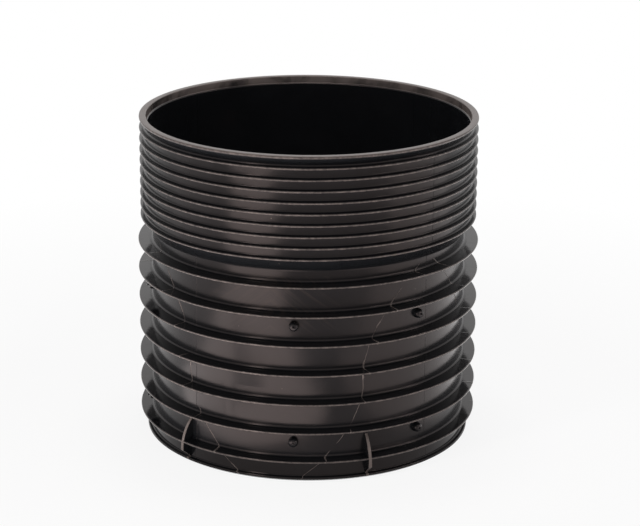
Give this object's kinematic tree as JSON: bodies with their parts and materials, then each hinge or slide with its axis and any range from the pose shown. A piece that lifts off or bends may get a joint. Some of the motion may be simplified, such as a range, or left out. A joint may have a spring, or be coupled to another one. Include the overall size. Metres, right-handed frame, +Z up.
{
  "type": "inspection chamber riser",
  "caption": "Open cylindrical raising shaft for a drain inspection chamber, with deep flanges below, thin cut-to-length ribs above, a seated rim and a lipped spigot.",
  "frame": {"origin": "centre of the shaft at its foot, the plane that it stands on", "axes": "+Z up along the shaft's axis and out of its open top; -Y is the front, the side with the gate bosses at 4.5 degrees left and 42.5 degrees right of it"},
  "size_m": [0.4649, 0.465, 0.4425],
  "materials": {
    "shell": "satin injection-moulded black polypropylene"
  },
  "bodies": {
    "root": {"chamber_riser": "shell"}
  },
  "joints": []
}
